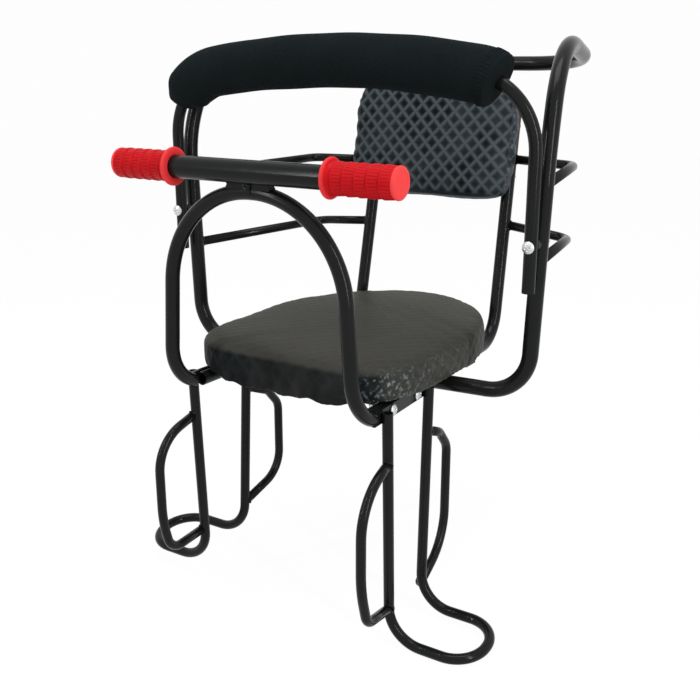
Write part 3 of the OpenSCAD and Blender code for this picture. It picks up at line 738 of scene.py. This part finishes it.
def grip(side):
    around = 216
    bands = 5
    body_start = 9.0
    body_end = GRIP_LENGTH - 4.5
    band_length = (body_end - body_start) / bands
    ribs = 30
    turn = np.arange(around) / around * TAU
    # Length along the grip, radius, and how pale it is painted as painted highlight
    plan = [(0.0, BAR_R + 0.15, 0.3), (0.0, FLANGE_R - 1.4, 0.7), (0.5, FLANGE_R - 0.5, 0.7),
            (1.3, FLANGE_R, 0.7), (2.7, FLANGE_R, 0.7), (3.6, FLANGE_R - 0.5, 0.5),
            (4.2, FLANGE_R - 1.5, 0.3), (4.6, GRIP_R + 1.2, 0), (5.2, GRIP_R + 0.2, 0),
            (6.2, GRIP_R - 0.3, 0), (8.4, GRIP_R - 0.4, 0)]
    rows = [(x, np.full(around, r), np.zeros(around), np.full(around, p)) for x, r, p in plan]
    for band in range(bands):
        phase = (band % 2) * 0.5
        wave = np.abs(((turn / TAU * ribs + phase) % 1) - 0.5) * 2
        slot_shape = smooth_step(wave, 0.06, 0.32)
        samples = 15
        for k in range(samples):
            t = k / (samples - 1)
            x = body_start + band * band_length + t * (band_length - 0.25)
            lip = smooth_step(np.array(t), 0.0, 0.08)
            deep = smooth_step(np.array(t), 0.14, 0.24) * (1 - smooth_step(np.array(t), 0.86, 0.97))
            groove = (1 - slot_shape) * deep
            radius = GRIP_R - 1.5 + 1.5 * lip + 0.2 - 1.1 * t - 0.45 * groove
            rows.append((x, radius, groove, np.zeros(around)))
    # End disc's profile, painted pale all through as painted highlight
    painted_light = [(0.2, GRIP_R - 0.6), (1.2, GRIP_R - 0.3), (2.6, GRIP_R - 0.6), (3.8, GRIP_R - 1.8),
            (4.4, GRIP_R - 3.4), (4.5, GRIP_R - 5.0), (4.1, GRIP_R - 5.8), (4.1, 5.2),
            (4.5, 4.6), (4.5, 3.2), (3.9, 2.6), (3.9, 0.05)]
    for x, r in painted_light:
        rows.append((body_end + x, np.full(around, r), np.zeros(around), np.ones(around)))
    points = []
    groove_values = []
    painted_light_values = []
    start = BAR_LENGTH / 2 - GRIP_LENGTH + GRIP_SHIFT[side]
    for x, radius, groove, lightness in rows:
        for i in range(around):
            y = BAR_Y + radius[i] * math.cos(turn[i])
            z = BAR_Z + radius[i] * math.sin(turn[i])
            points.append((side * (start + x), y, z))
        groove_values.extend(groove)
        painted_light_values.extend(lightness)
    faces = ring_faces(len(rows), around)
    last = (len(rows) - 1) * around
    faces.append(tuple(range(last, last + around)))
    name = "left" if side == LEFT else "right"
    piece = make_piece(name + "_grip_sleeve", row(points), faces, GRIP)
    # The groove attribute carries the grooves' painted shade to the material.
    set_attribute(piece, "groove", groove_values)
    set_attribute(piece, "painted_light", painted_light_values)
    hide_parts(name + "_grip")
    return piece


# Bolt heads

SHANK_R = 3.0
HEAD_R = 6.5
HEAD_HEIGHT = 4.4
GUARD_BOLT_LENGTH = 49
BRACKET_BOLT_LENGTH = 28
SEATED = 0.05


def bolt_rows(head_r, head_h, length):
    """Rings of a domed head with a cross recess, then its shank."""
    around = 64
    turn = np.arange(around) / around * TAU
    rings = []
    for k in range(22):
        r = head_r * (0.02 + 0.98 * k / 21)
        dome = head_h * (1 - (r / head_r) ** 2 * 0.62)
        x = r * np.cos(turn)
        y = r * np.sin(turn)
        arm = np.maximum(1 - smooth_step(np.abs(x), 0.55, 1.05), 1 - smooth_step(np.abs(y), 0.55, 1.05))
        sunk = 1.7 * arm * (1 - smooth_step(np.full(around, r), 0.42 * head_r, 0.56 * head_r))
        rings.append(np.stack([x, y, dome - sunk], 1))
    below = ((head_r, head_h * 0.3), (head_r, 0.3), (head_r - 0.3, 0.0),
             (SHANK_R, 0.0), (SHANK_R, -length + 0.8), (SHANK_R - 0.6, -length))
    for r, z in below:
        rings.append(np.stack([r * np.cos(turn), r * np.sin(turn), np.full(around, z)], 1))
    faces = ring_faces(len(rings), around)
    faces.append(tuple(range(around)))
    last = (len(rings) - 1) * around
    faces.append(tuple(range(last, last + around)))
    return np.concatenate(rings), faces


def placed(points, origin, outward_axis):
    """Turns local Z to the given axis at the origin."""
    z = np.array(outward_axis, float)
    z /= np.linalg.norm(z)
    x = np.cross([0, 0, 1.0], z)
    x /= np.linalg.norm(x)
    y = np.cross(z, x)
    spin = math.radians(20)
    x, y = x * math.cos(spin) + y * math.sin(spin), y * math.cos(spin) - x * math.sin(spin)
    return np.asarray(origin) + points @ np.array([x, y, z])


def rail_point(x, y, side):
    """Point in a rail's frame (outward, along) to the seat's frame, with its outward axis."""
    yaw = math.atan((RAIL_FRONT_X - RAIL_REAR_X) / RAIL_LENGTH)
    across = RAIL_FRONT_X + x * math.cos(yaw) - y * math.sin(yaw)
    point = (side * across, y * math.cos(yaw) + x * math.sin(yaw), 0)
    return point, (side * math.cos(yaw), math.sin(yaw), 0)


def bolt_set(name, places, length, replaced):
    points = []
    faces = []
    local, local_faces = bolt_rows(HEAD_R, HEAD_HEIGHT, length)
    for origin, axis in places:
        base = len(points) * len(local)
        points.append(placed(local, origin, axis))
        faces.extend(tuple(i + base for i in f) for f in local_faces)
    piece = make_piece(name, row(np.concatenate(points)), faces, ZINC)
    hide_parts(replaced)
    return piece


# Bent rods: side links and foot guards


def unit(v):
    return np.asarray(v, float) / np.linalg.norm(v)


def on_line(a, b, z):
    a = np.asarray(a, float)
    b = np.asarray(b, float)
    return a + (b - a) * (z - a[2]) / (b[2] - a[2])


RAIL_A = np.array([RAIL_FRONT_X, 0, 0])
RAIL_B = np.array([RAIL_REAR_X, RAIL_LENGTH, 0])
UPRIGHT_TOP = np.array([RAIL_REAR_X - UPRIGHT_IN, RAIL_LENGTH + UPRIGHT_LEAN, CROSSBAR_Z])
LINK_R = 5.8
LINK_BEND = [20]
GUARD_ROD_R = 5.5
LEG_R = 6.0
LEG_X = 134.3
REAR_LEG_X = 130.6


def upright(z):
    return on_line(RAIL_B, UPRIGHT_TOP, z)


def frame_side(z):
    return on_line(SIDE_LOW, SIDE_HIGH, z)


# Each rod: side, node, bends' points from end to end, bend radii, rod radius
RODS = [
    (RIGHT, "upper_link", [upright(233), (192.5, 357, 231), frame_side(233)], LINK_BEND, LINK_R),
    (RIGHT, "lower_link", [upright(150), (187.5, 367, 138), frame_side(152)], LINK_BEND, LINK_R),
    (LEFT, "upper_link", [upright(222), (194.5, 357, 222), frame_side(216)], LINK_BEND, LINK_R),
    (LEFT, "lower_link", [upright(138), (189.5, 367, 130.5), frame_side(127.5)], LINK_BEND, LINK_R),
    (RIGHT, "front_foot_guard", [(LEG_X, 7.5, -52), (137.7, -54.3, -72), (137.7, -54.3, -173),
                                 (137.7, -41.5, -219.5), (LEG_X, 14.5, -229)], [60, 150, 19], GUARD_ROD_R),
    (LEFT, "front_foot_guard", [(LEG_X, 7.5, -50), (137.7, -54.3, -68), (137.7, -54.3, -169),
                                (137.7, -42.5, -210.5), (LEG_X, 14.3, -204)], [50, 150, 20], GUARD_ROD_R),
    (RIGHT, "rear_foot_guard", [(REAR_LEG_X, 101, -47), (126, 140, -62.5), (126, 160.6, -86),
                                (126, 160.6, -211), (REAR_LEG_X, 91, -239)], [20, 24, 60], GUARD_ROD_R),
    (LEFT, "rear_foot_guard", [(REAR_LEG_X, 101, -42), (126, 140, -58), (126, 162.5, -82),
                               (126, 162.5, -177), (REAR_LEG_X, 93, -199)], [20, 24, 40], GUARD_ROD_R),
]


def bent_path(corners, radii):
    """Points of a line through the corners with round bends."""
    corners = [np.asarray(c, float) for c in corners]
    path = [corners[0]]
    steps = 14
    for k in range(1, len(corners) - 1):
        back = corners[k - 1] - corners[k]
        ahead = corners[k + 1] - corners[k]
        room_back = np.linalg.norm(back) * (0.98 if k == 1 else 0.49)
        room_ahead = np.linalg.norm(ahead) * (0.98 if k == len(corners) - 2 else 0.49)
        back = unit(back)
        ahead = unit(ahead)
        half = math.acos(np.clip(back @ ahead, -1, 1)) / 2
        reach = min(radii[k - 1] / math.tan(half), room_back, room_ahead)
        radius = reach * math.tan(half)
        centre = corners[k] + unit(back + ahead) * radius / math.sin(half)
        start = corners[k] + back * reach - centre
        end = corners[k] + ahead * reach - centre
        sweep = math.acos(np.clip(start @ end / radius ** 2, -1, 1))
        for i in range(steps + 1):
            t = i / steps
            blend = math.sin((1 - t) * sweep) * start + math.sin(t * sweep) * end
            path.append(centre + blend / math.sin(sweep))
    path.append(corners[-1])
    return np.array(path)


def swept(path, radius):
    """Round bar along a path, as points and faces."""
    around = 32
    ahead = np.gradient(path, axis=0)
    ahead /= np.linalg.norm(ahead, axis=1, keepdims=True)
    side = unit(np.cross(ahead[0], [0.1, 0.2, 1.0]))
    points = []
    for centre, tangent in zip(path, ahead):
        side = unit(side - tangent * (side @ tangent))
        third = np.cross(tangent, side)
        for i in range(around):
            a = i / around * TAU
            points.append(centre + radius * (side * math.cos(a) + third * math.sin(a)))
    faces = ring_faces(len(path), around)
    last = (len(path) - 1) * around
    faces.append(tuple(range(around)))
    faces.append(tuple(range(last, last + around)))
    return np.array(points), faces


def rod(side, name, corners, radii, radius):
    points, faces = swept(bent_path(corners, radii), radius)
    points = points * np.array([side, 1, 1])
    label = ("left_" if side == LEFT else "right_") + name
    piece = make_piece(label + "_rod", row(points), faces, ENAMEL)
    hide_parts(label)
    return piece


# Weld beads

FRAME_BEAD_R = 1.5
ROD_BEAD_R = 1.2
BLOB_R = 2.6


def joint_curve(end, direction, rod_r, axis_point, axis, tube_r):
    """Closed curve where a rod that runs along direction from end meets a tube."""
    direction = unit(direction)
    axis = unit(axis)
    side = unit(np.cross(direction, axis))
    up = np.cross(side, direction)
    curve = []
    for k in range(72):
        a = k / 72 * TAU
        start = np.asarray(end) + rod_r * (side * math.cos(a) + up * math.sin(a)) - np.asarray(axis_point)
        flat = start - axis * (start @ axis)
        heading = direction - axis * (direction @ axis)
        aa = heading @ heading
        bb = 2 * flat @ heading
        cc = flat @ flat - (tube_r + 0.1) ** 2
        root = max(bb * bb - 4 * aa * cc, 0)
        t = (-bb - math.sqrt(root)) / (2 * aa)
        curve.append(start + np.asarray(axis_point) + direction * t)
    return np.array(curve)


def bead(curve, radius):
    """Weld bead of overlapping ripples round a closed curve, as points and faces."""
    count = len(curve)
    around = 10
    ahead = np.roll(curve, -1, 0) - np.roll(curve, 1, 0)
    ahead /= np.maximum(np.linalg.norm(ahead, axis=1, keepdims=True), 1e-9)
    centre = curve.mean(0)
    points = []
    for k in range(count):
        out = curve[k] - centre
        out -= ahead[k] * (out @ ahead[k])
        out = unit(out)
        third = np.cross(ahead[k], out)
        size = radius * (1 + 0.16 * math.sin(k * TAU / 4.5) + 0.08 * math.sin(k * 1.7))
        for i in range(around):
            a = i / around * TAU
            points.append(curve[k] + size * (out * math.cos(a) + third * math.sin(a)))
    faces = ring_faces(count, around)
    last = (count - 1) * around
    for i in range(around):
        j = (i + 1) % around
        faces.append((last + i, last + j, j, i))
    return np.array(points), faces


def mirrored(points):
    return np.asarray(points) * np.array([-1, 1, 1])


def weld_beads():
    side_low = np.array(SIDE_LOW)
    side_high = np.array(SIDE_HIGH)
    inward = np.array(FRAME_FOOT) - side_low
    foot = joint_curve(side_low, inward, FRAME_R, RAIL_A, RAIL_B - RAIL_A, RAIL_R)
    curves = [(foot, FRAME_BEAD_R), (mirrored(foot), FRAME_BEAD_R)]
    for side, name, corners, _, radius in RODS:
        first, second = np.asarray(corners[0], float), np.asarray(corners[1], float)
        last, before = np.asarray(corners[-1], float), np.asarray(corners[-2], float)
        if name.endswith("link"):
            ends = [joint_curve(second, first - second, radius, RAIL_B, UPRIGHT_TOP - RAIL_B, RAIL_R),
                    joint_curve(before, last - before, radius, side_low, side_high - side_low, FRAME_R)]
        else:
            ends = [joint_curve(second, first - second, radius, first, (0, 0, 1.0), LEG_R),
                    joint_curve(before, last - before, radius, last, (0, 0, 1.0), LEG_R)]
        for curve in ends:
            curves.append((curve if side == RIGHT else mirrored(curve), ROD_BEAD_R))
    steps = 14
    turn = np.arange(steps) / steps * TAU
    level = np.full(steps, HOOP_FRONT_Y)
    blob = np.stack([BLOB_R * np.cos(turn), level, HOOP_TOP_Z + BLOB_R * np.sin(turn)], 1)
    curves.append((blob, BLOB_R))
    points = []
    faces = []
    total = 0
    for curve, radius in curves:
        bead_points, bead_faces = bead(curve, radius)
        points.append(bead_points)
        faces.extend(tuple(i + total for i in f) for f in bead_faces)
        total += len(bead_points)
    return make_piece("weld_beads", row(np.concatenate(points)), faces, ENAMEL)


seat_pad()
back_pad()
roll_cover()
grip(LEFT)
grip(RIGHT)
guard_places = [((s * GUARD_BOLT[0], GUARD_BOLT[1] - SEATED, GUARD_BOLT[2]), (0, -1, 0))
                for s in (LEFT, RIGHT)]
bolt_set("guard_bolt_heads", guard_places, GUARD_BOLT_LENGTH, "guard_bolts")
bracket_face = BRACKET_X + BRACKET_T + SEATED
bracket_places = [rail_point(bracket_face, y, s) for s in (LEFT, RIGHT) for y in BRACKET_BOLTS_Y]
bolt_set("bracket_bolt_heads", bracket_places, BRACKET_BOLT_LENGTH, "bracket_bolts")
for bent in RODS:
    rod(*bent)
weld_beads()


# Floor, world, lights and camera

WORLD_SHOWN = 0.985
WORLD_LIGHTING = 0.42
FLOOR_GLOW = 1.03
FLOOR_GLOW_SHARE = 0.93
FLOOR_GAP = 0.0005


def shown_level(tree, shown, lighting):
    """The first value for camera, glossy and transmission rays, and the second for the
    light that reaches surfaces."""
    path = tree.nodes.new("ShaderNodeLightPath")
    total = path.outputs["Is Camera Ray"]
    for name in ("Is Glossy Ray", "Is Transmission Ray"):
        node = tree.nodes.new("ShaderNodeMath")
        node.operation = "ADD"
        node.use_clamp = True
        tree.links.new(total, node.inputs[0])
        tree.links.new(path.outputs[name], node.inputs[1])
        total = node.outputs[0]
    level = tree.nodes.new("ShaderNodeMapRange")
    level.inputs["To Min"].default_value = lighting
    level.inputs["To Max"].default_value = shown
    tree.links.new(total, level.inputs["Value"])
    return level.outputs[0]


def white_world():
    world = bpy.data.worlds.new("white")
    bpy.context.scene.world = world
    world.use_nodes = True
    tree = world.node_tree
    background = tree.nodes["Background"]
    background.inputs["Color"].default_value = (1, 1, 1, 1)
    tree.links.new(shown_level(tree, WORLD_SHOWN, WORLD_LIGHTING), background.inputs["Strength"])


def white_floor():
    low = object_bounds()[0]
    size = 6.0
    z = low[2] - FLOOR_GAP
    mesh = bpy.data.meshes.new("floor")
    corners = [(-size, -size, z), (size, -size, z), (size, size, z), (-size, size, z)]
    mesh.from_pydata(corners, [], [(0, 1, 2, 3)])
    floor = bpy.data.objects.new("floor", mesh)
    bpy.context.scene.collection.objects.link(floor)
    material = bpy.data.materials.new("floor_white")
    material.use_nodes = True
    tree = material.node_tree
    shader = tree.nodes["Principled BSDF"]
    shader.inputs["Base Color"].default_value = (0.8, 0.8, 0.8, 1)
    shader.inputs["Roughness"].default_value = 1.0
    shader.inputs["Specular IOR Level"].default_value = 0.0
    glow = tree.nodes.new("ShaderNodeEmission")
    glow.inputs["Strength"].default_value = FLOOR_GLOW
    mix = tree.nodes.new("ShaderNodeMixShader")
    tree.links.new(shown_level(tree, FLOOR_GLOW_SHARE, 0.0), mix.inputs[0])
    tree.links.new(shader.outputs[0], mix.inputs[1])
    tree.links.new(glow.outputs[0], mix.inputs[2])
    tree.links.new(mix.outputs[0], tree.nodes["Material Output"].inputs["Surface"])
    mesh.materials.append(material)


def area_light(name, place, target, size, power):
    data = bpy.data.lights.new(name, "AREA")
    data.shape = "RECTANGLE"
    data.size, data.size_y = size
    data.energy = power
    lamp = bpy.data.objects.new(name, data)
    bpy.context.scene.collection.objects.link(lamp)
    lamp.location = place
    lamp.rotation_mode = "QUATERNION"
    lamp.rotation_quaternion = (Vector(target) - Vector(place)).to_track_quat("-Z", "Y")


def studio():
    area_light("top_softbox", (0.1, -0.2, 1.9), (0, 0, 0.1), (1.3, 0.9), 17)
    area_light("right_strip", (1.6, -0.7, 0.75), (0, 0.05, 0.0), (0.035, 1.5), 16)
    area_light("front_left_strip", (-0.9, -1.6, 1.1), (0, 0, 0.1), (0.035, 1.4), 12)


def camera():
    data = bpy.data.cameras.new("camera")
    data.sensor_width = 36
    data.lens = 49.29
    data.clip_start = 0.05
    data.clip_end = 50
    eye = bpy.data.objects.new("camera", data)
    bpy.context.scene.collection.objects.link(eye)
    eye.location = (0.5985, -0.9661, 0.36905)
    heading = Vector((-0.5105, 0.8096, -0.2902))
    eye.rotation_mode = "QUATERNION"
    eye.rotation_quaternion = heading.to_track_quat("-Z", "Y")
    bpy.context.scene.camera = eye


white_world()
white_floor()
studio()
camera()
bpy.context.scene.view_settings.view_transform = "Standard"
